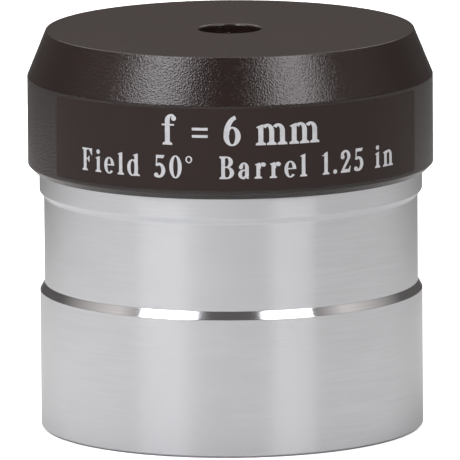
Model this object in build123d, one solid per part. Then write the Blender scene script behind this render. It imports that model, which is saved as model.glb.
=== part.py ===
"""Telescope eyepiece: a turned barrel, a cap that screws onto it, and a lens cell held between them.

Millimetres. +Z is the optical axis and points out of the eye hole. The origin is on that axis, in the
plane of the barrel's open rim, so the eyepiece stands on it. The data label is on the -Y side.
"""

from build123d import *
import math
import os

# ---- driving dimensions: outside ---------------------------------------------------------------
barrel_d = 31.75          # the 1.25-inch nose that a focuser holds
shoulder_z = 21.6         # where the cap's underside stops the barrel
overall_h = 33.2

undercut_d = 31.0         # safety groove round the barrel
undercut_low = 11.5       # lower edge of the groove's lower chamfer
undercut_low_run = 0.65   # height of that chamfer
undercut_high = 19.87     # upper edge of the groove's upper chamfer
undercut_high_run = 0.47
rim_break = 0.2           # broken edge at the barrel's rim

cap_d = 33.6
cap_top_d = 30.5
cap_chamfer_h = 3.8       # the long chamfer round the top
cap_foot = 0.5            # the small chamfer round the cap's lower edge
eye_hole_d = 5.2
eye_wall = 1.2            # thickness of the cap over the lens cell
eye_break = 0.15

# ---- driving dimensions: threads, given as their plain cylinders ------------------------------
filter_minor_r = 13.93    # M28.5 x 0.6 filter thread, minor radius
filter_relief_r = 14.3    # tool runout behind it
filter_top = 4.5
filter_lead = 0.47        # lead-in chamfer at the rim
filter_relief_w = 0.8

spigot_r = 15.0           # M30 x 0.75 cap thread, major radius
spigot_turns = 6
cap_pitch = 0.75
spigot_relief_r = 14.4
spigot_relief_w = 0.8
spigot_break = 0.4
cap_bore_r = 15.05        # 0.05 all round on the spigot
cap_mouth_r = 15.9        # lead-in of the cap's bore, just clear of the barrel

# ---- driving dimensions: inside ----------------------------------------------------------------
barrel_bore_r = 14.1
spigot_bore_r = 13.5
bore_step_z = 18.4        # cone between the two bores
bore_step_h = 0.6

cell_flange_r = 14.5      # passes the cap's thread
cell_flange_h = 1.0
cell_tube_r = 5.5
cell_low = 17.0
cell_bore_r = 4.22
cell_bore_top = 27.0
cell_break = 0.2
cell_head_gap = 0.05      # between the cell's end and the cap
cell_slip = 0.02          # round the cell's tube in the cap
doublet_bore_r = 3.27
eye_lip_h = 0.45          # lip that the eye lens sits against
eye_lip_r = 2.8

glass_slip = 0.02         # round every lens and ring in the cell
eye_lens_r = doublet_bore_r - glass_slip
flint_h = 0.9             # at its centre
crown_h = 2.7             # at its centre
cement_radius = 7.5       # curve shared by flint and crown
crown_radius = 4.6
field_lens_r = cell_bore_r - glass_slip
field_lens_h = 3.0
field_lens_radius = 5.5
field_lens_top = 22.3
spacer_top_bore = 2.9
spacer_low_bore = 3.7
spacer_touch = 0.01       # clearance between a spacer's edge and the lens it holds
stop_h = 0.93
stop_blade_h = 0.3
stop_r = 2.95
stop_wall_bore = 3.7
ring_h = 1.17
ring_bore_r = 3.3
ring_slot_w = 0.9
ring_slot_d = 0.5

# ---- driving dimensions: data label --------------------------------------------------------------
label_t = 0.12
label_low = 22.4
label_high = 29.2
label_start = -148        # degrees about +Z, its edge on the -X side
label_sweep = 122

# ---- worked out -----------------------------------------------------------------------------------
barrel_r = barrel_d / 2
undercut_r = undercut_d / 2
cap_r = cap_d / 2
cap_top_r = cap_top_d / 2
eye_hole_r = eye_hole_d / 2
spigot_top = shoulder_z + spigot_turns * cap_pitch
cell_shoulder = spigot_top + cell_flange_h
eye_floor = overall_h - eye_wall
cell_top = eye_floor - cell_head_gap
flint_top = cell_top - eye_lip_h
cement_vertex = flint_top - flint_h
crown_vertex = cement_vertex - crown_h
field_lens_low = field_lens_top - field_lens_h
stop_low = field_lens_low - stop_h
ring_low = stop_low - ring_h


def sag(radius, at):
    """Depth of a spherical surface at a distance from its axis."""
    return radius - math.sqrt(radius**2 - at**2)


def turned(*outline):
    """A lathe-turned piece from its closed half outline of (radius, z) corners."""
    edge = Polyline(*[(r, 0, z) for r, z in outline], close=True)
    return revolve(make_face(edge), axis=Axis.Z)


def surface(lens_r, vertex, radius, sign):
    """Half outline of a lens surface, from the axis to the rim; sign is +1 where its rim is higher."""
    middle = lens_r / 2
    return ThreePointArc(
        (0, 0, vertex),
        (middle, 0, vertex + sign * sag(radius, middle)),
        (lens_r, 0, vertex + sign * sag(radius, lens_r)),
    )


def flat(lens_r, z):
    return Line((0, 0, z), (lens_r, 0, z))


def lens(top, bottom):
    """A lens between two half outlines, with a plain cylindrical rim."""
    rim = Line(top @ 1, bottom @ 1)
    axis = Line(bottom @ 0, top @ 0)
    return revolve(make_face([top, rim, bottom, axis]), axis=Axis.Z)


def nose_barrel():
    """Barrel with its safety groove, filter thread bore and the spigot that carries the cap."""
    relief_top = filter_top + filter_relief_w
    return turned(
        (barrel_r - rim_break, 0),
        (barrel_r, rim_break),
        (barrel_r, undercut_low),
        (undercut_r, undercut_low + undercut_low_run),
        (undercut_r, undercut_high - undercut_high_run),
        (barrel_r, undercut_high),
        (barrel_r, shoulder_z),
        (spigot_relief_r, shoulder_z),
        (spigot_relief_r, shoulder_z + spigot_relief_w),
        (spigot_r, shoulder_z + spigot_relief_w + spigot_r - spigot_relief_r),
        (spigot_r, spigot_top - spigot_break),
        (spigot_r - spigot_break, spigot_top),
        (spigot_bore_r, spigot_top),
        (spigot_bore_r, bore_step_z + bore_step_h),
        (barrel_bore_r, bore_step_z),
        (barrel_bore_r, relief_top),
        (filter_relief_r, relief_top),
        (filter_relief_r, filter_top),
        (filter_minor_r, filter_top),
        (filter_minor_r, filter_lead),
        (filter_minor_r + filter_lead, 0),
    )


def eye_cap():
    """Cap with its long top chamfer, small eye hole, and stepped bore for the cell and the spigot."""
    tube_bore_r = cell_tube_r + cell_slip
    return turned(
        (cap_mouth_r, shoulder_z),
        (cap_r - cap_foot, shoulder_z),
        (cap_r, shoulder_z + cap_foot),
        (cap_r, overall_h - cap_chamfer_h),
        (cap_top_r, overall_h),
        (eye_hole_r + eye_break, overall_h),
        (eye_hole_r, overall_h - eye_break),
        (eye_hole_r, eye_floor),
        (tube_bore_r, eye_floor),
        (tube_bore_r, cell_shoulder),
        (cap_bore_r, cell_shoulder),
        (cap_bore_r, shoulder_z + cap_mouth_r - cap_bore_r),
    )


def data_label():
    """Thin film wrapped part of the way round the cap."""
    strip = Polyline(
        (cap_r, 0, label_low),
        (cap_r + label_t, 0, label_low),
        (cap_r + label_t, 0, label_high),
        (cap_r, 0, label_high),
        close=True,
    )
    film = revolve(make_face(strip), axis=Axis.Z, revolution_arc=label_sweep)
    return Rot(0, 0, label_start) * film


def lens_cell():
    """Stepped tube that holds the glass, with the flange that is clamped under the cap."""
    return turned(
        (cell_flange_r, spigot_top),
        (cell_flange_r, cell_shoulder),
        (cell_tube_r, cell_shoulder),
        (cell_tube_r, cell_top - cell_break),
        (cell_tube_r - cell_break, cell_top),
        (eye_lip_r, cell_top),
        (eye_lip_r, flint_top),
        (doublet_bore_r, flint_top),
        (doublet_bore_r, cell_bore_top),
        (cell_bore_r, cell_bore_top),
        (cell_bore_r, cell_low + cell_break),
        (cell_bore_r + cell_break, cell_low),
        (cell_tube_r - cell_break, cell_low),
        (cell_tube_r, cell_low + cell_break),
        (cell_tube_r, spigot_top),
    )


def eye_lens_flint():
    """Flat outside, hollow inside, where the crown is cemented to it."""
    return lens(
        flat(eye_lens_r, flint_top),
        surface(eye_lens_r, cement_vertex, cement_radius, -1),
    )


def eye_lens_crown():
    return lens(
        surface(eye_lens_r, cement_vertex, cement_radius, -1),
        surface(eye_lens_r, crown_vertex, crown_radius, +1),
    )


def lens_spacer():
    """Stepped sleeve between the eye doublet and the field lens."""
    top = crown_vertex + sag(crown_radius, spacer_top_bore) - spacer_touch
    bottom = field_lens_top - sag(field_lens_radius, spacer_low_bore) + spacer_touch
    return turned(
        (spacer_top_bore, top),
        (eye_lens_r, top),
        (eye_lens_r, cell_bore_top),
        (field_lens_r, cell_bore_top),
        (field_lens_r, bottom),
        (spacer_low_bore, bottom),
        (spacer_low_bore, cell_bore_top - 1),
        (spacer_top_bore, cell_bore_top),
    )


def field_lens():
    return lens(
        surface(field_lens_r, field_lens_top, field_lens_radius, -1),
        flat(field_lens_r, field_lens_low),
    )


def field_stop():
    """Ring with a thin blade that gives the view its sharp edge."""
    return turned(
        (stop_r, stop_low),
        (field_lens_r, stop_low),
        (field_lens_r, field_lens_low),
        (stop_wall_bore, field_lens_low),
        (stop_wall_bore, stop_low + stop_blade_h),
        (stop_r, stop_low + stop_blade_h),
    )


def retaining_ring():
    """Ring that holds the stack in the cell, slotted across for a spanner."""
    ring = turned(
        (ring_bore_r, ring_low),
        (field_lens_r, ring_low),
        (field_lens_r, stop_low),
        (ring_bore_r, stop_low),
    )
    slot = Pos(0, 0, ring_low) * Box(3 * field_lens_r, ring_slot_w, 2 * ring_slot_d)
    return ring - slot


nodes = [
    nose_barrel,
    eye_cap,
    data_label,
    lens_cell,
    eye_lens_flint,
    eye_lens_crown,
    lens_spacer,
    field_lens,
    field_stop,
    retaining_ring,
]

os.makedirs("parts", exist_ok=True)
for make in nodes:
    export_step(make(), f"parts/{make.__name__}.step")
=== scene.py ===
"""Telescope eyepiece: a turned barrel, a satin black cap with a printed film, and its glass.

The frame gives every place. Sizes that the frame's boxes don't show are the properties below.
"""

import math

import bmesh
import bpy
from bpy.props import FloatProperty, FloatVectorProperty, IntProperty, PointerProperty, StringProperty
from bpy.types import Operator, Panel, PropertyGroup
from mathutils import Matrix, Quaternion, Vector
from mathutils.geometry import delaunay_2d_cdt


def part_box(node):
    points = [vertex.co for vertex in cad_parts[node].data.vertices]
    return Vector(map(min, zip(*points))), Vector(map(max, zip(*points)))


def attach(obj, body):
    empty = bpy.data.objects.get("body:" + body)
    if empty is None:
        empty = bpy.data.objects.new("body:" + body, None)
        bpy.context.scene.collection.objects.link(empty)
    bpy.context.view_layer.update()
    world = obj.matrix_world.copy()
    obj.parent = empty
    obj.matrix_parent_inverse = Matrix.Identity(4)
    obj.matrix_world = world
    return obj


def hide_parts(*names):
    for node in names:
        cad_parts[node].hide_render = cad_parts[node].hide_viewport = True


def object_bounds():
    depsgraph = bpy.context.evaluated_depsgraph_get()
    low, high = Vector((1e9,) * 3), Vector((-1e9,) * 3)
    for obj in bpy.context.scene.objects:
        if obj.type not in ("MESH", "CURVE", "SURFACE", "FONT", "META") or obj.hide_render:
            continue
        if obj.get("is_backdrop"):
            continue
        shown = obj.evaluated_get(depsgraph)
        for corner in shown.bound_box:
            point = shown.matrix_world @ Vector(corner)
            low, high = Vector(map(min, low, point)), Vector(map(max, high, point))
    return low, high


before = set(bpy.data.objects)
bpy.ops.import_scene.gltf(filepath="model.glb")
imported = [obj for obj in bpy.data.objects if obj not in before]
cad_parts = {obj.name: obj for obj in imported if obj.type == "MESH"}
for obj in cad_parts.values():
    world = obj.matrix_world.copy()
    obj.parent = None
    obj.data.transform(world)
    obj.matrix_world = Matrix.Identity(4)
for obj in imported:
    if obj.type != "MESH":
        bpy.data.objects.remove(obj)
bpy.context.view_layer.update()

bl_info = {
    "name": "Telescope Eyepiece",
    "version": (1, 0, 0),
    "blender": (4, 5, 0),
    "location": "View3D > Sidebar > Eyepiece",
    "description": "Makes a slim-barrel telescope eyepiece, its printed film and its studio",
    "category": "Object",
}

MM = 0.001
WELD = 0.4e-6             # closer than this, two vertices are one
HOLD = 0.05 * MM          # flat faces keep a ring this near each rounded edge
HOLD_SHARE = 0.1          # and no further in than this share of the face
EDGE_SHARE = 0.4          # a rounded edge takes no more than this share of a face
ARC_STEP = math.radians(12)
SHARP = math.radians(28)
GAP = -1                  # a stretch of outline that a thread fills


# ---- what a user would change ----

def length(name, description, millimetres):
    return FloatProperty(
        name=name, description=description, default=millimetres * MM, min=0, subtype="DISTANCE",
        unit="LENGTH", precision=6,
    )


def share(name, description, default):
    return FloatProperty(
        name=name, description=description, default=default, min=0, max=1, subtype="FACTOR",
    )


def colour(name, description, default):
    return FloatVectorProperty(
        name=name, description=description, default=default, size=3, min=0, max=1, subtype="COLOR",
    )


def number(name, description, default):
    return FloatProperty(name=name, description=description, default=default, min=0)


def angle(name, description, degrees):
    return FloatProperty(
        name=name, description=description, default=math.radians(degrees), subtype="ANGLE", unit="ROTATION",
    )


class BarrelSettings(PropertyGroup):
    around: IntProperty(name="Steps around", description="Facets round the barrel", default=288, min=48)
    groove_radius: length("Groove radius", "Radius of the safety groove", 15.5)
    groove_low: length("Groove start", "Height of the groove's lower edge", 11.5)
    groove_low_run: length("Lower chamfer", "Height of the groove's polished lower chamfer", 0.65)
    groove_high: length("Groove end", "Height of the groove's upper edge", 19.87)
    groove_high_run: length("Upper chamfer", "Height of the groove's upper chamfer", 0.47)
    rim_break: length("Rim break", "Broken edge at the open rim", 0.2)
    edge: length("Edge round", "Radius of the turned edges", 0.06)
    bore_radius: length("Bore radius", "Radius of the blackened bore", 14.1)
    spigot_bore_radius: length("Spigot bore", "Bore radius inside the cap's thread", 13.5)
    step_low: length("Step height", "Where the bore starts to narrow", 18.4)
    step_run: length("Step length", "Height of the cone between the bores", 0.6)
    filter_root: length("Filter root", "Root radius of the filter thread", 14.25)
    filter_crest: length("Filter crest", "Crest radius of the filter thread", 13.93)
    filter_pitch: length("Filter pitch", "Pitch of the filter thread", 0.6)
    filter_top: length("Filter depth", "Height where the filter thread ends", 4.5)
    relief_radius: length("Runout radius", "Radius of the runout behind the filter thread", 14.3)
    relief_width: length("Runout width", "Width of the runout behind the filter thread", 0.8)
    metal: colour("Metal", "Colour of the turned aluminium", (0.79, 0.81, 0.832))
    turned_roughness: share("Turned roughness", "Roughness across the turning lines", 0.21)
    polished_roughness: share("Polished roughness", "Roughness of the polished chamfer", 0.115)


class CapSettings(PropertyGroup):
    around: IntProperty(name="Steps around", description="Facets round the cap", default=288, min=48)
    top_radius: length("Top radius", "Radius of the flat top", 15.25)
    chamfer_height: length("Top chamfer", "Height of the long chamfer", 3.8)
    foot: length("Foot chamfer", "Size of the small chamfer at the cap's lower edge", 0.5)
    hole_radius: length("Eye hole radius", "Radius of the eye hole", 2.57)
    hole_round: length("Eye hole edge", "Rounded edge of the eye hole", 0.24)
    wall: length("Top wall", "Thickness of the cap over the lens cell", 1.2)
    edge: length("Edge round", "Radius of the cap's turned edges", 0.11)
    mouth_radius: length("Mouth radius", "Radius where the cap's bore opens", 15.9)
    tube_bore_radius: length("Cell bore", "Radius of the bore round the lens cell", 5.52)
    thread_root: length("Thread root", "Root radius of the cap's thread", 15.05)
    thread_crest: length("Thread crest", "Crest radius of the cap's thread", 14.62)
    spigot_root: length("Spigot root", "Root radius of the barrel's thread", 14.54)
    spigot_crest: length("Spigot crest", "Crest radius of the barrel's thread", 15.0)
    pitch: length("Pitch", "Pitch of the thread between cap and barrel", 0.75)
    black: colour("Black", "Colour of the cap's finish", (0.015, 0.0088, 0.0075))
    roughness: share("Roughness", "Roughness of the cap's finish", 0.16)
    grain: length("Grain size", "Size of the finish's grain", 0.14)
    grain_depth: length("Grain depth", "Depth of the finish's grain", 0.03)


class LabelSettings(PropertyGroup):
    start: angle("Left edge", "Angle of the film's left edge from the front", -58)
    end: angle("Right edge", "Angle of the film's right edge from the front", 64)
    lift: length("Glue line", "Gap between film and cap", 0.006)
    thickness: length("Thickness", "Thickness of the film", 0.055)
    film: colour("Film", "Colour of the printed black", (0.02, 0.0105, 0.0085))
    # the cut edge's colour, lighter than the film, is a painted highlight along the film's edges
    cut: colour("Cut edge", "Colour of the film's cut edge", (0.08, 0.066, 0.06))
    ink: colour("Ink", "Colour of the pale print", (0.6, 0.61, 0.63))
    ink_height: length("Ink height", "Height of the print over the film", 0.012)
    upper_text: StringProperty(name="Upper line", description="Text of the upper line", default="f = 6 mm")
    lower_text: StringProperty(
        name="Lower line", description="Text of the lower line", default="Field 50°  Barrel 1.25 in",
    )
    upper_height: length("Upper capitals", "Height of the upper line's capitals", 2.5)
    lower_height: length("Lower capitals", "Height of the lower line's capitals", 1.87)
    upper_width: length("Upper width", "Width of the upper line round the cap", 13.2)
    lower_width: length("Lower width", "Width of the lower line round the cap", 28.9)
    upper_base: length("Upper baseline", "Height of the upper baseline", 26.15)
    lower_base: length("Lower baseline", "Height of the lower baseline", 23.4)


class OpticsSettings(PropertyGroup):
    around: IntProperty(name="Steps around", description="Facets round the lens cell", default=192, min=48)
    tube_radius: length("Tube radius", "Outer radius of the lens cell's tube", 5.5)
    flange_high: length("Flange top", "Height of the flange's top", 27.1)
    bore_radius: length("Cell bore", "Radius of the bore for the field lens", 4.22)
    bore_top: length("Bore top", "Height where the bore narrows", 27.0)
    eye_bore_radius: length("Eye bore", "Radius of the bore for the eye lens", 3.27)
    lip_radius: length("Lip radius", "Radius of the lip in front of the eye lens", 2.8)
    cement_radius: length("Cemented curve", "Radius of the surface that flint and crown share", 7.5)
    cement_gap: length("Cement", "Thickness of the cement film", 0.004)
    crown_radius: length("Crown curve", "Radius of the crown's lower surface", 4.6)
    field_radius: length("Field curve", "Radius of the field lens's upper surface", 5.5)
    spacer_bore: length("Spacer bore", "Upper bore radius of the spacer", 2.9)
    spacer_wide_bore: length("Spacer wide bore", "Lower bore radius of the spacer", 3.7)
    stop_radius: length("Stop radius", "Radius of the field stop's opening", 2.95)
    stop_bore: length("Stop wall bore", "Bore radius of the field stop's wall", 3.7)
    blade: length("Stop blade", "Thickness of the field stop's blade", 0.3)
    ring_bore: length("Ring bore", "Bore radius of the retaining ring", 3.3)
    slot_width: length("Slot width", "Width of the retaining ring's spanner slots", 0.9)
    slot_depth: length("Slot depth", "Depth of the retaining ring's spanner slots", 0.5)
    edge: length("Edge round", "Radius of the turned edges", 0.04)
    black: colour("Black", "Colour of the blackened inner metal", (0.012, 0.012, 0.013))
    glass: colour("Glass", "Colour of the glass", (0.97, 0.99, 0.98))
    ground: colour("Ground rim", "Colour of the glass's ground rim", (0.5, 0.52, 0.52))


class StageSettings(PropertyGroup):
    floor: colour("Floor", "Colour of the studio floor", (0.92, 0.92, 0.92))
    floor_glow: number("Floor glow", "Light that comes through the floor", 0.5)
    floor_bounce: colour("Floor bounce", "Colour of the floor in reflections", (0.44, 0.437, 0.433))
    floor_radius: length("Floor radius", "Radius of the studio floor", 1600)
    backdrop: number("Backdrop", "Brightness of the backdrop behind the eyepiece", 1.05)
    room: number("Room light", "Brightness of the room round the studio", 0.115)
    key: number("Left softbox", "Brightness of the left softbox", 5.4)
    fill: number("Right softbox", "Brightness of the right softbox", 4.2)
    overhead: number("Overhead softbox", "Brightness of the overhead softbox", 5.0)
    upper_room: number("Upper room light", "Brightness of the upper walls at the sides and back", 0.75)
    back: number("Back softboxes", "Brightness of the two softboxes behind the eyepiece", 1.1)
    lower: number("Lower softbox", "Brightness of the softbox under the floor's opening", 4.0)
    walls: colour("Walls", "Colour of the studio's walls", (1, 0.93, 0.9))
    camera_height: angle("Camera height", "Angle of the camera over the floor", 9.82)
    camera_roll: angle("Camera roll", "Lean of the camera", -0.387)
    camera_distance: length("Camera distance", "From the camera to the eyepiece", 1138)
    lens: FloatProperty(name="Lens", description="Focal length in millimetres", default=1073.7, min=1)


# ---- mesh helpers ----

def on_ring(radius, z, turn):
    """The point at that radius and height, a share of a turn round from +X."""
    return radius * math.cos(math.tau * turn), radius * math.sin(math.tau * turn), z


def rounded(outline):
    """Rows (radius, z, finish) from corners (radius, z, edge radius, finish from there on)."""
    rows = []
    count = len(outline)
    for i, (radius, z, edge, finish) in enumerate(outline):
        here = Vector((radius, z))
        before = Vector(outline[i - 1][:2])
        after = Vector(outline[(i + 1) % count][:2])
        came, goes = here - before, after - here
        turn = came.angle(goes)
        room = min(came.length, goes.length)
        reach = min(edge * math.tan(turn / 2), EDGE_SHARE * room)
        hold = min(HOLD, HOLD_SHARE * room)
        came_finish = outline[i - 1][3]
        if came_finish != GAP:
            spot = here - came.normalized() * (reach + hold)
            rows.append((spot.x, spot.y, came_finish))
        if reach > WELD:
            steps = max(2, math.ceil(turn / ARC_STEP))
            start, end = here - came.normalized() * reach, here + goes.normalized() * reach
            for k in range(steps + 1):
                t = k / steps
                spot = start.lerp(here, t).lerp(here.lerp(end, t), t)
                rows.append((spot.x, spot.y, finish))
        else:
            rows.append((here.x, here.y, finish))
        if finish != GAP:
            spot = here + goes.normalized() * (reach + hold)
            rows.append((spot.x, spot.y, finish))
    return rows


def lathe(bm, rows, around, closed=True):
    """Turns the rows round +Z. A row on the axis is one vertex."""
    grid = []
    for radius, z, _ in rows:
        if radius < WELD:
            grid.append([bm.verts.new((0, 0, z))])
        else:
            grid.append([bm.verts.new(on_ring(radius, z, j / around)) for j in range(around)])
    last = len(rows) if closed else len(rows) - 1
    for i in range(last):
        finish = rows[i][2]
        if finish == GAP:
            continue
        here, there = grid[i], grid[(i + 1) % len(rows)]
        for j in range(around):
            k = (j + 1) % around
            corners = [here[j % len(here)], here[k % len(here)]]
            corners += [there[k % len(there)], there[j % len(there)]]
            face = bm.faces.new(list(dict.fromkeys(corners)))
            face.material_index = finish


THREAD_ROWS = 12          # rows in one pitch
RIDGE_REACH = 4           # rows from a ridge's middle to its foot
RIDGE_FLANK = 3           # rows up its flank
THREAD_FADE = 0.6         # share of a pitch over which a thread's ends fade out


def ridge(step):
    """Height, 0 to 1, of a thread's flanks and flat crest at one of its rows."""
    return min(1, max(0, (RIDGE_REACH - abs(step - THREAD_ROWS / 2)) / RIDGE_FLANK))


def thread(bm, low, high, root, crest, pitch, around, finish, offset=0.0):
    """A right-handed thread between two plain rings at its root radius, fading out at both."""
    start = (math.floor(low / pitch) - 2 + offset) * pitch
    count = math.ceil((high - start) / pitch * THREAD_ROWS) + THREAD_ROWS
    fade = THREAD_FADE * pitch
    rows = []
    for k in range(count + 1):
        row = []
        for j in range(around):
            z = min(max(start + pitch * (k / THREAD_ROWS + j / around), low), high)
            t = min(1, min(z - low, high - z) / fade)
            grown = ridge(k % THREAD_ROWS) * t * t * (3 - 2 * t)
            row.append(bm.verts.new(on_ring(root + (crest - root) * grown, z, j / around)))
        rows.append(row)
    for k in range(count - THREAD_ROWS):
        for j in range(around):
            wrap = THREAD_ROWS if j == around - 1 else 0
            n = (j + 1) % around
            corners = [rows[k][j], rows[k + wrap][n], rows[k + 1 + wrap][n], rows[k + 1][j]]
            heights = [v.co.z for v in corners]
            if max(heights) - min(heights) < WELD:
                continue
            face = bm.faces.new(corners)
            face.material_index = finish


def finish_mesh(bm, name, materials, smooth=True):
    """Welds, closes and shades a mesh, and links it as an object with those materials."""
    bmesh.ops.remove_doubles(bm, verts=bm.verts, dist=WELD)
    bmesh.ops.dissolve_degenerate(bm, edges=bm.edges, dist=WELD)
    loose = [v for v in bm.verts if not v.link_faces]
    bmesh.ops.delete(bm, geom=loose, context="VERTS")
    bmesh.ops.recalc_face_normals(bm, faces=bm.faces)
    mesh = bpy.data.meshes.new(name)
    bm.to_mesh(mesh)
    open_edges = sum(1 for e in bm.edges if len(e.link_faces) != 2)
    bm.free()
    if open_edges:
        raise RuntimeError(f"{name} has {open_edges} open edges")
    for material in materials:
        mesh.materials.append(material)
    if smooth:
        mesh.shade_smooth()
        mesh.set_sharp_from_angle(angle=SHARP)
    piece = bpy.data.objects.new(name, mesh)
    bpy.context.scene.collection.objects.link(piece)
    return piece


def sag(radius, at):
    return radius - math.sqrt(radius * radius - at * at)


# ---- material helpers ----

class Wiring:
    """The node tree of a material or a world, under construction."""

    def __init__(self, owner):
        owner.use_nodes = True
        self.tree = owner.node_tree
        self.nodes = self.tree.nodes

    def link(self, output, socket):
        self.tree.links.new(output, socket)

    def parts(self, vector):
        """The X, Y and Z of a vector."""
        node = self.nodes.new("ShaderNodeSeparateXYZ")
        self.link(vector, node.inputs["Vector"])
        return [node.outputs[axis] for axis in "XYZ"]

    def combined(self, first, second, operation="MULTIPLY"):
        """The product of two values, or what another operation makes of them."""
        node = self.nodes.new("ShaderNodeMath")
        node.operation = operation
        self.link(first, node.inputs[0])
        self.link(second, node.inputs[1])
        return node.outputs["Value"]

    def ranged(self, value, low, high, start=0.25, end=0.75):
        """A stretch of a value, by default a noise's usual spread, mapped to a range of numbers."""
        node = self.nodes.new("ShaderNodeMapRange")
        node.inputs["From Min"].default_value = start
        node.inputs["From Max"].default_value = end
        node.inputs["To Min"].default_value = low
        node.inputs["To Max"].default_value = high
        self.link(value, node.inputs["Value"])
        return node.outputs["Result"]

    def mixed(self, factor, first, second):
        """The first shader where the factor is 0, and the second where it is 1."""
        node = self.nodes.new("ShaderNodeMixShader")
        self.link(factor, node.inputs[0])
        self.link(first, node.inputs[1])
        self.link(second, node.inputs[2])
        return node.outputs["Shader"]


class Finish(Wiring):
    """A material under construction, with its shader and the object's own coordinates."""

    def __init__(self, name):
        self.material = bpy.data.materials.new(name)
        super().__init__(self.material)
        self.shader = self.nodes["Principled BSDF"]
        self.place = self.nodes.new("ShaderNodeTexCoord").outputs["Object"]

    def set(self, **values):
        """Gives the shader's inputs plain values."""
        for name, value in values.items():
            self.shader.inputs[name.replace("_", " ")].default_value = value

    def drive(self, **outputs):
        """Gives the shader's inputs values that vary over the surface."""
        for name, output in outputs.items():
            self.link(output, self.shader.inputs[name.replace("_", " ")])

    def grain(self, across, along, detail=2.0, roughness=0.5):
        """Noise with grain of that size in metres across Z and along it."""
        stretch = self.nodes.new("ShaderNodeMapping")
        stretch.inputs["Scale"].default_value = (1 / across, 1 / across, 1 / along)
        self.link(self.place, stretch.inputs["Vector"])
        node = self.nodes.new("ShaderNodeTexNoise")
        node.inputs["Scale"].default_value = 1
        node.inputs["Detail"].default_value = detail
        node.inputs["Roughness"].default_value = roughness
        self.link(stretch.outputs["Vector"], node.inputs["Vector"])
        return node.outputs["Fac"]

    def blended(self, factor, first, second):
        """A colour between two, by a factor that varies over the surface."""
        node = self.nodes.new("ShaderNodeMix")
        node.data_type = "RGBA"
        node.inputs["A"].default_value = (*first, 1)
        node.inputs["B"].default_value = (*second, 1)
        self.link(factor, node.inputs["Factor"])
        return node.outputs["Result"]

    def toned(self, noise, tint, dark, light, start=0.25, end=0.75):
        """A tint that a noise varies from a darker share of it to a lighter one."""
        return self.blended(self.ranged(noise, 0, 1, start, end), scaled(tint, dark), scaled(tint, light))

    def bumped(self, height, depth, after=None):
        node = self.nodes.new("ShaderNodeBump")
        node.inputs["Strength"].default_value = 1
        node.inputs["Distance"].default_value = depth
        self.link(height, node.inputs["Height"])
        if after is not None:
            self.link(after, node.inputs["Normal"])
        return node.outputs["Normal"]


def scaled(tint, factor):
    return tuple(min(1, c * factor) for c in tint)


def turned_metal(name, tint, roughness, anisotropy):
    """Aluminium with fine lines round the axis, which smear every reflection along it."""
    finish = Finish(name)
    lines = finish.grain(400 * MM, 0.05 * MM, detail=4, roughness=0.7)
    bands = finish.grain(400 * MM, 1.1 * MM)
    haze = finish.grain(4 * MM, 2 * MM, detail=3)
    streaks = finish.grain(5 * MM, 0.12 * MM, roughness=0.6)
    tangent = finish.nodes.new("ShaderNodeTangent")
    tangent.direction_type = "RADIAL"
    tangent.axis = "Z"
    wavy = finish.bumped(bands, 0.002 * MM)
    finish.drive(
        Base_Color=finish.toned(streaks, tint, 0.96, 1.027, 0.3, 0.7),
        Roughness=finish.ranged(haze, roughness - 0.01, roughness + 0.01),
        Tangent=tangent.outputs["Tangent"],
        Normal=finish.bumped(lines, 0.0005 * MM, wavy),
    )
    finish.set(
        Metallic=1, Anisotropic=anisotropy, Anisotropic_Rotation=0.25, Specular_Tint=(0.9, 0.9, 0.9, 1),
    )
    return finish.material


def grained_black(name, tint, roughness, grain, depth):
    """Satin black with a fine even grain."""
    finish = Finish(name)
    fine = finish.grain(grain, grain, detail=1.6)
    cloud = finish.grain(6 * MM, 6 * MM)
    finish.drive(
        Base_Color=finish.toned(cloud, tint, 0.88, 1.14),
        Roughness=finish.ranged(fine, roughness - 0.03, roughness + 0.03),
        Normal=finish.bumped(fine, depth),
    )
    finish.set(IOR=1.6)
    return finish.material


def inner_black(name, tint):
    """Blackened inner metal with faint turning lines."""
    finish = Finish(name)
    lines = finish.grain(6 * MM, 0.12 * MM)
    finish.drive(
        Base_Color=finish.toned(lines, tint, 0.7, 1.6),
        Roughness=finish.ranged(lines, 0.5, 0.66),
        Normal=finish.bumped(lines, 0.002 * MM),
    )
    return finish.material


def film_black(name, tint):
    """Printed film: smooth, with the faint ripple of the glue under it."""
    finish = Finish(name)
    ripple = finish.grain(1.6 * MM, 1.6 * MM, detail=3)
    finish.drive(
        Base_Color=finish.toned(ripple, tint, 0.94, 1.08),
        Roughness=finish.ranged(ripple, 0.4, 0.48),
        Normal=finish.bumped(ripple, 0.004 * MM),
    )
    finish.set(IOR=1.42)
    return finish.material


def pale_ink(name, tint):
    """Screen-printed ink, a little thinner in places."""
    finish = Finish(name)
    mottle = finish.grain(0.5 * MM, 0.5 * MM, detail=3, roughness=0.6)
    finish.drive(
        Base_Color=finish.toned(mottle, tint, 0.86, 1, 0.3, 0.6),
        Roughness=finish.ranged(mottle, 0.5, 0.6),
    )
    return finish.material


def cut_edge_highlight(name, tint):
    """The film's cut edge, with a painted highlight: coloured lighter than the film along its edges."""
    finish = Finish(name)
    fibre = finish.grain(0.3 * MM, 0.3 * MM)
    finish.drive(Base_Color=finish.toned(fibre, tint, 0.6, 1.3))
    finish.set(Roughness=0.55)
    return finish.material


def coated_glass(name, tint):
    """Polished glass with the faint colour of an anti-reflection coating."""
    finish = Finish(name)
    cloud = finish.grain(2.5 * MM, 2.5 * MM, detail=1)
    finish.drive(Roughness=finish.ranged(cloud, 0.0, 0.012))
    finish.set(
        Base_Color=(*tint, 1), Transmission_Weight=1, IOR=1.55,
        Thin_Film_Thickness=125, Thin_Film_IOR=1.38,
    )
    return finish.material


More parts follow.
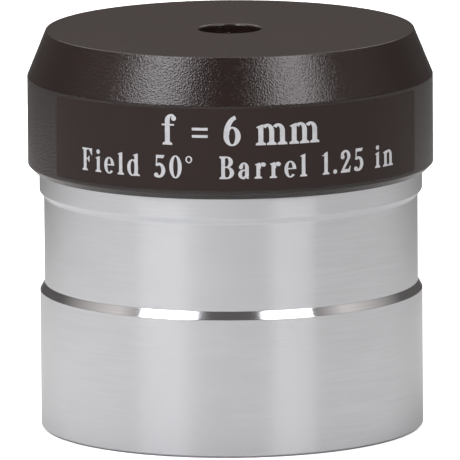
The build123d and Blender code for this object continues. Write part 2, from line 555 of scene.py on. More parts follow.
def ground_glass(name, tint):
    """The matt rim of a lens."""
    finish = Finish(name)
    frost = finish.grain(0.05 * MM, 0.05 * MM)
    finish.drive(Base_Color=finish.toned(frost, tint, 0.8, 1), Normal=finish.bumped(frost, 0.002 * MM))
    finish.set(Roughness=0.6)
    return finish.material


# ---- barrel ----

TURNED, POLISHED, BLACKENED = range(3)
NECK_DEPTH = 0.14 * MM    # runout between the shoulder and the spigot's thread
NECK_WIDTH = 0.8 * MM
SPIGOT_LEAD = 0.06 * MM   # broken edge at the spigot's end
FILTER_LEAD = 0.15 * MM   # broken edge at the filter thread's mouth


def settle(piece, body, slot, *nodes):
    """Rides on a body and stands for the CAD nodes. The slot is not used."""
    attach(piece, body)
    if nodes:
        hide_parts(*nodes)


class EYEPIECE_OT_add_barrel(Operator):
    """Turned barrel with its safety groove, filter thread, and the threaded spigot for the cap"""

    bl_idname = "eyepiece.add_barrel"
    bl_label = "Barrel"

    def execute(self, context):
        s, cap = context.scene.eyepiece_barrel, context.scene.eyepiece_cap
        radius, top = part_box("nose_barrel")[1].x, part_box("nose_barrel")[1].z
        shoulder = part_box("eye_cap")[0].z
        root = cap.spigot_root
        neck = root - NECK_DEPTH
        neck_top = shoulder + NECK_WIDTH
        thread_low = neck_top + root - neck
        thread_high = top - SPIGOT_LEAD
        relief_top = s.filter_top + s.relief_width
        rows = rounded([
            (radius - s.rim_break, 0, s.edge, TURNED),
            (radius, s.rim_break, s.edge, TURNED),
            (radius, s.groove_low, s.edge / 2, POLISHED),
            (s.groove_radius, s.groove_low + s.groove_low_run, s.edge / 2, TURNED),
            (s.groove_radius, s.groove_high - s.groove_high_run, s.edge, TURNED),
            (radius, s.groove_high, s.edge, TURNED),
            (radius, shoulder, s.edge, TURNED),
            (neck, shoulder, s.edge, TURNED),
            (neck, neck_top, s.edge, TURNED),
            (root, thread_low, 0, GAP),
            (root, thread_high, 0, TURNED),
            (root - SPIGOT_LEAD, top, 0, TURNED),
            (s.spigot_bore_radius, top, s.edge, BLACKENED),
            (s.spigot_bore_radius, s.step_low + s.step_run, s.edge, BLACKENED),
            (s.bore_radius, s.step_low, s.edge, BLACKENED),
            (s.bore_radius, relief_top, s.edge, BLACKENED),
            (s.relief_radius, relief_top, s.edge, BLACKENED),
            (s.relief_radius, s.filter_top, 0, BLACKENED),
            (s.filter_root, s.filter_top, 0, GAP),
            (s.filter_root, FILTER_LEAD, 0, TURNED),
            (s.filter_root + FILTER_LEAD, 0, 0, TURNED),
        ])
        bm = bmesh.new()
        lathe(bm, rows, s.around)
        thread(bm, thread_low, thread_high, root, cap.spigot_crest, cap.pitch, s.around, TURNED)
        thread(
            bm, FILTER_LEAD, s.filter_top, s.filter_root, s.filter_crest, s.filter_pitch, s.around,
            BLACKENED,
        )
        barrel = finish_mesh(bm, "turned_barrel", [
            turned_metal("Turned aluminium", s.metal, s.turned_roughness, 1.0),
            turned_metal("Polished aluminium", s.metal, s.polished_roughness, 0.8),
            inner_black("Blackened bore", context.scene.eyepiece_optics.black),
        ])
        settle(barrel, "barrel", "turned_aluminium", "nose_barrel")
        return {"FINISHED"}


# ---- cap ----

SATIN, INSIDE = range(2)
PLAIN_BORE = 0.7 * MM     # between the flange and the cap's thread


class EYEPIECE_OT_add_cap(Operator):
    """Black cap with its long top chamfer, its eye hole and its internal thread"""

    bl_idname = "eyepiece.add_cap"
    bl_label = "Cap"

    def execute(self, context):
        s = context.scene.eyepiece_cap
        low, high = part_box("eye_cap")
        radius = high.x
        flange_top = context.scene.eyepiece_optics.flange_high
        eye_floor = high.z - s.wall
        thread_low = low.z + s.mouth_radius - s.thread_root
        thread_high = flange_top - PLAIN_BORE
        rows = rounded([
            (s.mouth_radius, low.z, s.edge / 2, SATIN),
            (radius - s.foot, low.z, s.edge, SATIN),
            (radius, low.z + s.foot, s.edge, SATIN),
            (radius, high.z - s.chamfer_height, s.edge, SATIN),
            (s.top_radius, high.z, s.edge, SATIN),
            (s.hole_radius, high.z, s.hole_round, SATIN),
            (s.hole_radius, eye_floor, s.edge / 2, INSIDE),
            (s.tube_bore_radius, eye_floor, s.edge / 2, INSIDE),
            (s.tube_bore_radius, flange_top, s.edge / 2, INSIDE),
            (s.thread_root, flange_top, s.edge / 2, INSIDE),
            (s.thread_root, thread_high, 0, GAP),
            (s.thread_root, thread_low, 0, INSIDE),
        ])
        bm = bmesh.new()
        lathe(bm, rows, s.around)
        thread(
            bm, thread_low, thread_high, s.thread_root, s.thread_crest, s.pitch, s.around, INSIDE,
            offset=0.5,
        )
        cap = finish_mesh(bm, "black_cap", [
            grained_black("Satin black", s.black, s.roughness, s.grain, s.grain_depth),
            inner_black("Cap inside", context.scene.eyepiece_optics.black),
        ])
        settle(cap, "cap", "black_cap", "eye_cap")
        return {"FINISHED"}


# ---- letters: a capital is 1 high, and each function returns its letter's width ----

STEM = 0.165
HAIR = 0.055
EAR = 0.08                # how far a serif stands out past its stem
BALL_SIDES = 16
BOWL_STEP = 12            # degrees
SAME_SPOT = 1e-5          # closer than this, two corners of letters are one


class Pen:
    """Collects the overlapping shapes of a line of letters; lower is the height of its small ones."""

    def __init__(self, lower):
        self.lower = lower
        self.at = 0.0
        self.shapes = []

    def shape(self, *points):
        """Adds a polygon, counterclockwise whichever way it is given."""
        area = sum(a[0] * b[1] - b[0] * a[1] for a, b in zip(points, points[1:] + points[:1]))
        if area < 0:
            points = points[::-1]
        self.shapes.append([(self.at + x, y) for x, y in points])

    def bar(self, left, low, right, high):
        self.shape((left, low), (right, low), (right, high), (left, high))

    def ball(self, x, y, radius):
        spots = [math.tau * k / BALL_SIDES for k in range(BALL_SIDES)]
        self.shape(*[(x + radius * math.cos(a), y + radius * math.sin(a)) for a in spots])

    def bowl(self, x, y, across, up, start=0, end=360, side=STEM, top=HAIR):
        """Part of an oval ring, thick at its sides and thin at its top and bottom."""
        steps = round((end - start) / BOWL_STEP)
        outer, inner = (across, up), (across - side, up - top)
        for k in range(steps):
            corners = []
            for i, (reach, rise) in ((k, outer), (k + 1, outer), (k + 1, inner), (k, inner)):
                a = math.radians(start + (end - start) * i / steps)
                corners.append((x + reach * math.cos(a), y + rise * math.sin(a)))
            self.shape(*corners)

    def serif(self, left, y, up):
        """A bracketed serif across a stem's end; up is +1 where the stem rises from it."""
        right = left + STEM
        self.shape(
            (left - EAR, y), (right + EAR, y), (right + EAR, y + up * HAIR), (right, y + up * 2 * HAIR),
            (left, y + up * 2 * HAIR), (left - EAR, y + up * HAIR),
        )

    def flag(self, left, high):
        """The slanted start of a small letter's stem."""
        self.shape((left - EAR, high - 0.09), (left + 0.02, high - 0.15), (left + STEM, high - 0.15),
                   (left + STEM, high), (left + 0.06, high - 0.03))

    def stem(self, left, high, foot=True, flag=True):
        self.bar(left, 0, left + STEM, high - 0.05 if flag else high)
        if foot:
            self.serif(left, 0, 1)
        if flag:
            self.flag(left, high)


def space(pen):
    return 0.34


def wide_f(pen):
    pen.stem(0.09, 1, flag=False)
    pen.serif(0.09, 1, -1)
    pen.bar(0.2, 1 - HAIR, 0.6, 1)
    pen.shape((0.6, 1 - HAIR), (0.6, 0.7), (0.57, 0.7), (0.42, 1 - HAIR))
    pen.bar(0.2, 0.5, 0.42, 0.5 + HAIR)
    pen.shape((0.44, 0.66), (0.44, 0.39), (0.41, 0.39), (0.33, 0.5), (0.33, 0.5 + HAIR), (0.41, 0.66))
    return 0.62


def wide_b(pen):
    pen.stem(0.09, 1, flag=False)
    pen.serif(0.09, 1, -1)
    for low, high, across in ((0.0, 0.55, 0.34), (0.5, 1.0, 0.29)):
        pen.bar(0.2, low, 0.32, low + HAIR)
        pen.bar(0.2, high - HAIR, 0.32, high)
        pen.bowl(0.31, (low + high) / 2, across, (high - low) / 2, -90, 90, side=STEM + 0.02)
    return 0.66


def small_f(pen):
    pen.stem(0.11, 0.8, flag=False)
    pen.bar(0.0, pen.lower - HAIR, 0.42, pen.lower)
    pen.bowl(0.34, 0.8, 0.23, 0.22, 90, 180, side=STEM, top=0.07)
    pen.bowl(0.34, 0.82, 0.14, 0.2, 20, 90, side=0.07, top=0.07)
    pen.ball(0.41, 0.88, 0.085)
    return 0.5


def small_i(pen):
    pen.stem(0.09, pen.lower)
    pen.ball(0.165, 0.9, 0.1)
    return 0.34


def small_l(pen):
    pen.stem(0.09, 1)
    return 0.34


def small_e(pen):
    middle = pen.lower / 2
    pen.bowl(0.27, middle, 0.27, middle + 0.015, 0, 318)
    pen.bar(0.12, middle, 0.53, middle + HAIR)
    return 0.54


def small_d(pen):
    middle = pen.lower / 2
    pen.bowl(0.27, middle, 0.27, middle + 0.015, 0, 360)
    pen.stem(0.36, 1, foot=False)
    pen.shape((0.5, 0), (0.62, 0.0), (0.62, HAIR), (0.5, 2 * HAIR))
    return 0.62


def small_a(pen):
    high = pen.lower
    pen.bar(0.3, 0.1, 0.3 + STEM, high * 0.68)
    pen.bowl(0.255, high * 0.68, 0.21, high * 0.32 + 0.015, 0, 160)
    pen.ball(0.12, high * 0.73, 0.09)
    pen.bowl(0.24, high * 0.28, 0.24, high * 0.28 + 0.015, 90, 290, top=0.07)
    pen.shape((0.22, high * 0.56), (0.33, high * 0.6), (0.33, high * 0.5), (0.22, high * 0.48))
    pen.shape((0.2, 0.06), (0.25, 0), (0.34, 0.09), (0.34, 0.2))
    pen.bowl(0.42, 0.13, 0.12, 0.13, 180, 300, side=0.1, top=0.09)
    return 0.54


def arch(pen, left, right):
    """The shoulder that joins one stem to the next."""
    middle, across = (left + right + STEM) / 2, (right + STEM - left) / 2
    pen.bowl(middle, pen.lower * 0.66, across, pen.lower * 0.34 + 0.015, 0, 140, side=STEM, top=0.09)
    pen.stem(right, pen.lower * 0.68, flag=False)


def small_n(pen):
    pen.stem(0.09, pen.lower)
    arch(pen, 0.16, 0.44)
    return 0.68


def small_m(pen):
    pen.stem(0.09, pen.lower)
    arch(pen, 0.16, 0.45)
    arch(pen, 0.52, 0.81)
    return 1.05


def small_r(pen):
    pen.stem(0.09, pen.lower)
    pen.bowl(0.37, pen.lower * 0.62, 0.16, pen.lower * 0.38, 60, 180, side=0.08, top=0.08)
    pen.ball(0.41, pen.lower - 0.1, 0.095)
    return 0.5


def equals(pen):
    pen.bar(0.04, 0.26, 0.56, 0.35)
    pen.bar(0.04, 0.5, 0.56, 0.59)
    return 0.6


def zero(pen):
    pen.bowl(0.28, 0.5, 0.28, 0.51, side=STEM + 0.01)
    return 0.56


def one(pen):
    pen.bar(0.15, 0, 0.15 + STEM, 0.95)
    pen.serif(0.15, 0, 1)
    pen.shape((0.02, 0.84), (0.15, 0.82), (0.15 + STEM, 0.8), (0.15 + STEM, 1), (0.25, 1), (0.16, 0.9))
    return 0.42


def two(pen):
    pen.bowl(0.27, 0.72, 0.26, 0.28, -25, 165, top=0.09)
    pen.ball(0.12, 0.7, 0.1)
    pen.shape((0.36, 0.63), (0.51, 0.63), (0.42, 0.46), (0.2, 0.14), (0.03, 0.0), (0.03, 0.05))
    pen.shape((0.02, 0.0), (0.5, 0.0), (0.54, 0.27), (0.5, 0.27), (0.44, 0.15), (0.14, 0.15))
    return 0.55


def five(pen):
    pen.shape((0.11, 1), (0.1, 0.86), (0.44, 0.86), (0.5, 1))
    pen.shape((0.09, 0.5), (0.14, 0.55), (0.16, 0.9), (0.11, 0.9))
    pen.bowl(0.24, 0.32, 0.29, 0.33, -100, 128, side=STEM + 0.01, top=0.11)
    pen.shape((0.09, 0.5), (0.14, 0.55), (0.22, 0.6), (0.22, 0.52))
    pen.ball(0.11, 0.11, 0.1)
    pen.bowl(0.2, 0.14, 0.19, 0.15, 200, 290, side=0.08, top=0.07)
    return 0.55


def six(pen):
    pen.bowl(0.28, 0.31, 0.28, 0.32, side=STEM + 0.01)
    pen.bowl(0.5, 0.36, 0.5, 0.66, 105, 180, side=STEM + 0.02, top=0.12)
    return 0.57


def point(pen):
    pen.ball(0.1, 0.09, 0.1)
    return 0.2


def degree(pen):
    pen.bowl(0.15, 0.84, 0.15, 0.16, side=0.065, top=0.05)
    return 0.3


LETTERS = {
    " ": space, "F": wide_f, "B": wide_b, "f": small_f, "i": small_i, "l": small_l, "e": small_e,
    "d": small_d, "a": small_a, "n": small_n, "m": small_m, "r": small_r, "=": equals, "0": zero,
    "1": one, "2": two, "5": five, "6": six, ".": point, "°": degree,
}


def line_of_text(text, lower, width):
    """Flat triangles of a line that fills that width, in capital heights, with its middle at x 0."""
    natural = sum(LETTERS[c](Pen(lower)) for c in text)
    gap = (width - natural) / (len(text) - 1)
    pen = Pen(lower)
    pen.at = -width / 2
    for c in text:
        pen.at += LETTERS[c](pen) + gap
    corners = [Vector(p) for shape in pen.shapes for p in shape]
    faces, first = [], 0
    for shape in pen.shapes:
        faces.append(list(range(first, first + len(shape))))
        first += len(shape)
    spots, _, triangles, _, _, sources = delaunay_2d_cdt(corners, [], faces, 1, SAME_SPOT, True)
    return spots, [triangle for triangle, source in zip(triangles, sources) if source]


# ---- printed film ----

FILM, CUT_HIGHLIGHT = range(2)
SLICE = 0.3 * MM          # curved print is cut this finely
INK_BITE = 0.003 * MM     # how far the ink reaches into the film
SMALL_LETTERS = (0.69, 0.71)  # their height in each line, in capitals
FILM_CORNER = 0.35 * MM
CORNER_STEPS = 6
FILM_COLUMNS = 240
FILM_ROWS = 48
BLISTERS = (              # air under the film: angle in degrees, height, half width, half height, lift
    (2.2, 28.93 * MM, 0.7 * MM, 0.3 * MM, 0.04 * MM),
    (6.2, 28.8 * MM, 0.6 * MM, 0.4 * MM, 0.045 * MM),
)


def blister(radius, angle, z):
    """How far the film stands off its glue line at that place."""
    lift = 0.0
    for middle, height, half_width, half_height, most in BLISTERS:
        across = (angle - math.radians(middle)) * radius / half_width
        lift += most * math.exp(-across * across - ((z - height) / half_height) ** 2)
    return lift


def bent(radius, angle, z):
    """A place at that angle from the front."""
    return radius * math.sin(angle), -radius * math.cos(angle), z


def closed_skin(bm, flat, place, side):
    """Adds flat's faces at place(x, y, 0) and place(x, y, 1), and the sides that join them."""
    low, high = ({v: bm.verts.new(place(v.co.x, v.co.y, level)) for v in flat.verts} for level in (0, 1))
    for face in flat.faces:
        bm.faces.new([high[v] for v in face.verts])
        bm.faces.new([low[v] for v in reversed(face.verts)])
    for edge in flat.edges:
        if edge.is_boundary:
            a, b = edge.verts
            bm.faces.new([low[a], low[b], high[b], high[a]]).material_index = side


def film_sheet(start, end, low, high, radius):
    """The flat film, angle by height, with its corners rounded."""
    turn = FILM_CORNER / radius
    sweep = end - start
    near = [turn * (1 - math.cos(math.pi / 2 * k / CORNER_STEPS)) for k in range(CORNER_STEPS)]
    plain = [turn + (sweep - 2 * turn) * k / FILM_COLUMNS for k in range(FILM_COLUMNS + 1)]
    flat = bmesh.new()
    grid = []
    for t in near + plain + [sweep - t for t in reversed(near)]:
        inset = max(0, 1 - min(t, sweep - t) / turn)
        trim = FILM_CORNER * (1 - math.sqrt(1 - inset * inset))
        bottom, top = low + trim, high - trim
        heights = [bottom + (top - bottom) * k / FILM_ROWS for k in range(FILM_ROWS + 1)]
        grid.append([flat.verts.new((start + t, z, 0)) for z in heights])
    for here, there in zip(grid, grid[1:]):
        for k in range(FILM_ROWS):
            flat.faces.new([here[k], there[k], there[k + 1], here[k + 1]])
    return flat


def sliced(flat, axis, low, high):
    """Cuts a flat mesh across at even steps, so that it can bend."""
    for k in range(1, math.ceil((high - low) / SLICE)):
        spot, normal = [0, 0, 0], [0, 0, 0]
        spot[axis], normal[axis] = low + k * SLICE, 1
        everything = [*flat.verts, *flat.edges, *flat.faces]
        bmesh.ops.bisect_plane(flat, geom=everything, plane_co=spot, plane_no=normal)


class EYEPIECE_OT_add_label(Operator):
    """Black printed film wrapped on the cap, with its two lines of pale print"""

    bl_idname = "eyepiece.add_label"
    bl_label = "Label"

    def execute(self, context):
        s = context.scene.eyepiece_label
        low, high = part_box("data_label")
        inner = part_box("eye_cap")[1].x + s.lift
        outer = inner + s.thickness
        self.add_film(s, low.z, high.z, inner, outer)
        self.add_print(s, outer)
        return {"FINISHED"}

    def add_film(self, s, low, high, inner, outer):
        flat = film_sheet(s.start, s.end, low, high, outer)

        def place(angle, z, level):
            return bent((inner, outer)[level] + blister(outer, angle, z), angle, z)

        bm = bmesh.new()
        closed_skin(bm, flat, place, CUT_HIGHLIGHT)
        flat.free()
        finishes = [film_black("Label film", s.film), cut_edge_highlight("Film edge painted highlight", s.cut)]
        film = finish_mesh(bm, "label_film", finishes)
        settle(film, "cap", "label_film", "data_label")

    def add_print(self, s, outer):
        middle = (s.start + s.end) / 2
        bm = bmesh.new()
        for text, small, height, width, base in (
            (s.upper_text, SMALL_LETTERS[0], s.upper_height, s.upper_width, s.upper_base),
            (s.lower_text, SMALL_LETTERS[1], s.lower_height, s.lower_width, s.lower_base),
        ):
            flat = bmesh.new()
            spots, triangles = line_of_text(text, small, width / height)
            corners = [flat.verts.new((x * height, y * height, 0)) for x, y in spots]
            for triangle in triangles:
                flat.faces.new([corners[i] for i in triangle])
            sliced(flat, 0, -width / 2, width / 2)
            sliced(flat, 1, 0, height)

            def place(x, y, level):
                angle, z = middle + x / outer, base + y
                radius = outer + blister(outer, angle, z) + (-INK_BITE, s.ink_height)[level]
                return bent(radius, angle, z)

            closed_skin(bm, flat, place, 0)
            flat.free()
        ink = finish_mesh(bm, "label_print", [pale_ink("Pale ink", s.ink)], smooth=False)
        settle(ink, "cap", "label_print")


# ---- optics ----

POLISH, GROUND = range(2)
CURVE_STEPS = 28
FLAT_STEPS = 3
LENS_BEVEL = 0.05 * MM
CELL_BREAK = 0.2 * MM     # broken edges of the lens cell's tube
SPACER_CONE = 1 * MM      # height of the cone between the spacer's bores


def face_of_lens(reach, vertex, radius, rim):
    """Rows of a spherical face from the axis out; rim is +1 where its rim is higher, 0 where it is flat."""
    steps = CURVE_STEPS if rim else FLAT_STEPS
    spots = [reach * k / steps for k in range(steps + 1)]
    return [(at, vertex + (rim * sag(radius, at) if rim else 0), POLISH) for at in spots]


def add_lens(name, node, radius, top, bottom, around, materials):
    """A lens between two faces, each (vertex, radius, rim), with bevelled edges and a ground rim."""
    upper = face_of_lens(radius - LENS_BEVEL, *top)
    lower = face_of_lens(radius - LENS_BEVEL, *bottom)
    rim = [(radius, upper[-1][1] - LENS_BEVEL, GROUND), (radius, lower[-1][1] + LENS_BEVEL, GROUND)]
    upper[-1] = (*upper[-1][:2], GROUND)
    bm = bmesh.new()
    lathe(bm, upper + rim + lower[::-1], around, closed=False)
    lens = finish_mesh(bm, name, materials)
    settle(lens, "optics", "coated_glass", node)


def add_ring(name, node, s, finish, *corners):
    """A turned ring of blackened metal that rides with the optics. A corner is (radius, z), and one
    that isn't rounded has a 0 after them."""
    bm = bmesh.new()
    lathe(bm, rounded([(r, z, *(edge or [s.edge]), 0) for r, z, *edge in corners]), s.around)
    ring = finish_mesh(bm, name, [inner_black(finish, s.black)])
    settle(ring, "optics", "black_inner_metal", node)
    return ring


class EYEPIECE_OT_add_lens_cell(Operator):
    """Stepped tube that holds the glass, with the flange that the cap clamps"""

    bl_idname = "eyepiece.add_lens_cell"
    bl_label = "Lens cell"

    def execute(self, context):
        s = context.scene.eyepiece_optics
        low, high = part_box("lens_cell")
        flange_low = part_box("nose_barrel")[1].z
        lens_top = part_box("eye_lens_flint")[1].z
        add_ring(
            "lens_cell_tube", "lens_cell", s, "Blackened cell",
            (high.x, flange_low),
            (high.x, s.flange_high),
            (s.tube_radius, s.flange_high),
            (s.tube_radius, high.z - CELL_BREAK),
            (s.tube_radius - CELL_BREAK, high.z),
            (s.lip_radius, high.z),
            (s.lip_radius, lens_top),
            (s.eye_bore_radius, lens_top, 0),
            (s.eye_bore_radius, s.bore_top),
            (s.bore_radius, s.bore_top, 0),
            (s.bore_radius, low.z + CELL_BREAK),
            (s.bore_radius + CELL_BREAK, low.z),
            (s.tube_radius - CELL_BREAK, low.z),
            (s.tube_radius, low.z + CELL_BREAK),
            (s.tube_radius, flange_low),
        )
        return {"FINISHED"}


class EYEPIECE_OT_add_lenses(Operator):
    """Cemented eye lens of flint and crown, and the field lens below it"""

    bl_idname = "eyepiece.add_lenses"
    bl_label = "Lenses"

    def execute(self, context):
        s = context.scene.eyepiece_optics
        materials = [coated_glass("Coated glass", s.glass), ground_glass("Ground rim", s.ground)]
        flint, crown, field = (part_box(n) for n in ("eye_lens_flint", "eye_lens_crown", "field_lens"))
        cement = crown[1].z
        add_lens(
            "eye_lens_flint_glass", "eye_lens_flint", flint[1].x, (flint[1].z, 0, 0),
            (cement + s.cement_gap, s.cement_radius, -1), s.around, materials,
        )
        add_lens(
            "eye_lens_crown_glass", "eye_lens_crown", crown[1].x, (cement, s.cement_radius, -1),
            (crown[0].z, s.crown_radius, 1), s.around, materials,
        )
        add_lens(
            "field_lens_glass", "field_lens", field[1].x, (field[1].z, s.field_radius, -1),
            (field[0].z, 0, 0), s.around, materials,
        )
        return {"FINISHED"}


class EYEPIECE_OT_add_spacer(Operator):
    """Stepped sleeve between the eye lens and the field lens"""

    bl_idname = "eyepiece.add_spacer"
    bl_label = "Lens spacer"

    def execute(self, context):
        s = context.scene.eyepiece_optics
        low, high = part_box("lens_spacer")
        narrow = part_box("eye_lens_crown")[1].x
        add_ring(
            "spacer_sleeve", "lens_spacer", s, "Blackened spacer",
            (s.spacer_bore, high.z),
            (narrow, high.z),
            (narrow, s.bore_top),
            (high.x, s.bore_top),
            (high.x, low.z),
            (s.spacer_wide_bore, low.z),
            (s.spacer_wide_bore, s.bore_top - SPACER_CONE),
            (s.spacer_bore, s.bore_top),
        )
        return {"FINISHED"}


class EYEPIECE_OT_add_field_stop(Operator):
    """Ring with a thin blade that gives the view its sharp edge"""

    bl_idname = "eyepiece.add_field_stop"
    bl_label = "Field stop"

    def execute(self, context):
        s = context.scene.eyepiece_optics
        low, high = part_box("field_stop")
        add_ring(
            "field_stop_ring", "field_stop", s, "Blackened stop",
            (s.stop_radius, low.z),
            (high.x, low.z),
            (high.x, high.z),
            (s.stop_bore, high.z),
            (s.stop_bore, low.z + s.blade),
            (s.stop_radius, low.z + s.blade),
        )
        return {"FINISHED"}


def cut_away(piece, size, middle):
    """Cuts a block out of a piece."""
    bm = bmesh.new()
    bmesh.ops.create_cube(bm, size=1)
    bmesh.ops.scale(bm, vec=size, verts=bm.verts)
    bmesh.ops.translate(bm, vec=middle, verts=bm.verts)
    block = finish_mesh(bm, "cutter", [], smooth=False)
    slot = piece.modifiers.new("slot", "BOOLEAN")
    slot.operation, slot.solver, slot.object = "DIFFERENCE", "EXACT", block
    cut = piece.evaluated_get(bpy.context.evaluated_depsgraph_get())
    made = bpy.data.meshes.new_from_object(cut)
    piece.modifiers.clear()
    piece.data = made
    bpy.data.objects.remove(block)


class EYEPIECE_OT_add_retaining_ring(Operator):
    """Ring that holds the stack in the cell, slotted across for a spanner"""

    bl_idname = "eyepiece.add_retaining_ring"
    bl_label = "Retaining ring"

    def execute(self, context):
        s = context.scene.eyepiece_optics
        low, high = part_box("retaining_ring")
        ring = add_ring(
            "slotted_ring", "retaining_ring", s, "Blackened ring",
            (s.ring_bore, low.z),
            (high.x, low.z),
            (high.x, high.z),
            (s.ring_bore, high.z),
        )
        cut_away(ring, (3 * high.x, s.slot_width, 2 * s.slot_depth), (0, 0, low.z))
        return {"FINISHED"}


# ---- stage ----

FLOOR_GAP = 0.02 * MM     # between the floor and the rim that stands on it
FLOOR_INSET = 0.28 * MM   # how far the floor reaches in under the rim
FLOOR_STEPS = 128
CARD_PAINTED_SHADE = (           # painted shade on the card: light left, and the millimetres over which the card darkens to it
    (0.82, -40, 60),      # towards its right
    (0.36, 40, 140),      # towards its back
    (0.66, 155, 200),     # towards its far left corner
)
WALL_RISE = (0.3, 0.6)    # the upper walls brighten over these sines of the height
WALL_BACK = (-0.4, -0.1)  # and over this way round from the front to the back
CAMERA_TARGET = (-0.09 * MM, 0, 16.26 * MM)


def toward(azimuth, elevation):
    """Unit direction from the eyepiece, with azimuth 0 at its front and growing to its right."""
    a, e = math.radians(azimuth), math.radians(elevation)
    return Vector((math.sin(a) * math.cos(e), -math.cos(a) * math.cos(e), math.sin(e)))


def softbox(name, azimuth, elevation, distance, width, height, brightness, tint=(1, 1, 1), shows=True):
    """A rectangular softbox aimed at the eyepiece; width and height are the degrees that it covers.
    One that doesn't show lights the floor and stays out of reflections."""
    lamp = bpy.data.lights.new(name, "AREA")
    lamp.shape = "RECTANGLE"
    lamp.size = 2 * distance * math.tan(math.radians(width / 2))
    lamp.size_y = 2 * distance * math.tan(math.radians(height / 2))
    lamp.energy = brightness * math.pi * lamp.size * lamp.size_y
    lamp.color = tint
    box = bpy.data.objects.new(name, lamp)
    middle = sum(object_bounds(), Vector()) / 2
    direction = toward(azimuth, elevation)
    box.location = middle + direction * distance
    box.rotation_euler = direction.to_track_quat("Z", "Y").to_euler()
    box.visible_camera = False
    box.visible_glossy = shows
    bpy.context.scene.collection.objects.link(box)


def studio_floor(tint, glow, bounce):
    """Pale card lit from below, and clear to a view from there. Reflections see a grey card instead,
    with painted shade that darkens it towards its right, its back and its far left corner."""
    finish = Finish("Pale card")
    tooth = finish.grain(1.5 * MM, 1.5 * MM, detail=3)
    finish.drive(Base_Color=finish.toned(tooth, tint, 0.99, 1))
    finish.set(Roughness=0.9, Specular_IOR_Level=0.1, Emission_Color=(1, 1, 1, 1), Emission_Strength=glow)
    grey = finish.nodes.new("ShaderNodeBsdfDiffuse")
    right, back, _ = finish.parts(finish.place)
    corner = finish.combined(back, right, "SUBTRACT")
    # painted shade: the card's colour in reflections darkens towards its right, back and far left corner
    painted_shades = [
        finish.ranged(along, 1, left, start * MM, end * MM)
        for along, (left, start, end) in zip((right, back, corner), CARD_PAINTED_SHADE)
    ]
    lit = finish.combined(finish.combined(painted_shades[0], painted_shades[1]), painted_shades[2])
    finish.link(finish.blended(lit, (0, 0, 0), bounce), grey.inputs["Color"])
    clear = finish.nodes.new("ShaderNodeBsdfTransparent")
    seen = finish.nodes.new("ShaderNodeLightPath").outputs["Is Camera Ray"]
    under = finish.nodes.new("ShaderNodeNewGeometry").outputs["Backfacing"]
    above = finish.mixed(seen, grey.outputs["BSDF"], finish.shader.outputs["BSDF"])
    either = finish.mixed(under, above, clear.outputs["BSDF"])
    finish.link(either, finish.nodes["Material Output"].inputs["Surface"])
    return finish.material


def studio_room(tint, low, high, backdrop):
    """Dim walls, brighter up their sides and back, and a plain white backdrop behind the eyepiece."""
    room = bpy.data.worlds.new("Studio")
    wiring = Wiring(room)
    nodes = wiring.nodes
    _, back, up = wiring.parts(nodes.new("ShaderNodeTexCoord").outputs["Generated"])
    lit = wiring.combined(wiring.ranged(up, 0, 1, *WALL_RISE), wiring.ranged(back, 0, 1, *WALL_BACK))
    walls = nodes["Background"]
    walls.inputs["Color"].default_value = (*tint, 1)
    wiring.link(wiring.ranged(lit, low, high, 0, 1), walls.inputs["Strength"])
    white = nodes.new("ShaderNodeBackground")
    white.inputs["Color"].default_value = (1, 1, 1, 1)
    white.inputs["Strength"].default_value = backdrop
    seen = nodes.new("ShaderNodeLightPath").outputs["Is Camera Ray"]
    either = wiring.mixed(seen, walls.outputs["Background"], white.outputs["Background"])
    wiring.link(either, nodes["World Output"].inputs["Surface"])
    bpy.context.scene.world = room


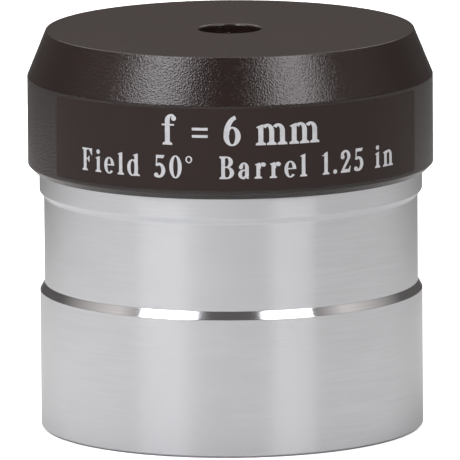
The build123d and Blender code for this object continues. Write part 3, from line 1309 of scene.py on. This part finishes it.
class EYEPIECE_OT_add_stage(Operator):
    """Pale floor, soft studio light and the camera"""

    bl_idname = "eyepiece.add_stage"
    bl_label = "Studio"

    def execute(self, context):
        s = context.scene.eyepiece_stage
        bm = bmesh.new()
        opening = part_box("nose_barrel")[1].x - FLOOR_INSET
        rings = [
            [bm.verts.new(on_ring(radius, -FLOOR_GAP, j / FLOOR_STEPS)) for j in range(FLOOR_STEPS)]
            for radius in (opening, s.floor_radius)
        ]
        for j in range(FLOOR_STEPS):
            k = (j + 1) % FLOOR_STEPS
            bm.faces.new([rings[0][j], rings[1][j], rings[1][k], rings[0][k]])
        mesh = bpy.data.meshes.new("studio_floor")
        bm.to_mesh(mesh)
        bm.free()
        mesh.materials.append(studio_floor(s.floor, s.floor_glow, s.floor_bounce))
        floor = bpy.data.objects.new("studio_floor", mesh)
        context.scene.collection.objects.link(floor)
        floor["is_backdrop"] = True
        studio_room(s.walls, s.room, s.upper_room, s.backdrop)
        softbox("left softbox", -47, 45.5, 0.5, 28, 35, s.key, (0.96, 0.95, 1))
        softbox("right softbox", 41, 42, 0.5, 25, 38, s.fill, (1, 0.97, 1))
        softbox("overhead softbox", -60, 82, 0.6, 46, 46, s.overhead, shows=False)
        softbox("back left softbox", -150, 42, 0.6, 34, 26, s.back)
        softbox("back right softbox", 142, 42, 0.6, 34, 26, s.back)
        softbox("lower softbox", -25, -62, 0.5, 50, 50, s.lower)
        self.add_camera(s)
        context.scene.view_settings.view_transform = "Standard"
        return {"FINISHED"}

    def add_camera(self, s):
        eye = bpy.data.cameras.new("Camera")
        eye.lens = s.lens
        eye.clip_start, eye.clip_end = 0.05, 10
        camera = bpy.data.objects.new("Camera", eye)
        back = toward(0, math.degrees(s.camera_height))
        camera.location = Vector(CAMERA_TARGET) + back * s.camera_distance
        aim = back.to_track_quat("Z", "Y")
        camera.rotation_mode = "QUATERNION"
        camera.rotation_quaternion = aim @ Quaternion((0, 0, 1), s.camera_roll)
        bpy.context.scene.collection.objects.link(camera)
        bpy.context.scene.camera = camera


# ---- the add-on ----

SETTINGS = {
    "eyepiece_barrel": BarrelSettings,
    "eyepiece_cap": CapSettings,
    "eyepiece_label": LabelSettings,
    "eyepiece_optics": OpticsSettings,
    "eyepiece_stage": StageSettings,
}

OPERATORS = (
    EYEPIECE_OT_add_barrel,
    EYEPIECE_OT_add_cap,
    EYEPIECE_OT_add_label,
    EYEPIECE_OT_add_lens_cell,
    EYEPIECE_OT_add_lenses,
    EYEPIECE_OT_add_spacer,
    EYEPIECE_OT_add_field_stop,
    EYEPIECE_OT_add_retaining_ring,
    EYEPIECE_OT_add_stage,
)


class EYEPIECE_PT_panel(Panel):
    """The eyepiece's pieces and their settings"""

    bl_label = "Telescope Eyepiece"
    bl_idname = "EYEPIECE_PT_panel"
    bl_space_type = "VIEW_3D"
    bl_region_type = "UI"
    bl_category = "Eyepiece"

    def draw(self, context):
        for operator in OPERATORS:
            self.layout.operator(operator.bl_idname)
        for name in SETTINGS:
            box = self.layout.box()
            group = getattr(context.scene, name)
            for key in group.__annotations__:
                box.prop(group, key)


def register():
    for cls in (*SETTINGS.values(), *OPERATORS, EYEPIECE_PT_panel):
        bpy.utils.register_class(cls)
    for name, group in SETTINGS.items():
        setattr(bpy.types.Scene, name, PointerProperty(type=group))


def unregister():
    for name in SETTINGS:
        delattr(bpy.types.Scene, name)
    for cls in (EYEPIECE_PT_panel, *reversed(OPERATORS), *reversed(SETTINGS.values())):
        bpy.utils.unregister_class(cls)


def main():
    register()
    bpy.ops.eyepiece.add_barrel()
    bpy.ops.eyepiece.add_cap()
    bpy.ops.eyepiece.add_label()
    bpy.ops.eyepiece.add_lens_cell()
    bpy.ops.eyepiece.add_lenses()
    bpy.ops.eyepiece.add_spacer()
    bpy.ops.eyepiece.add_field_stop()
    bpy.ops.eyepiece.add_retaining_ring()
    bpy.ops.eyepiece.add_stage()


if __name__ == "__main__":
    main()
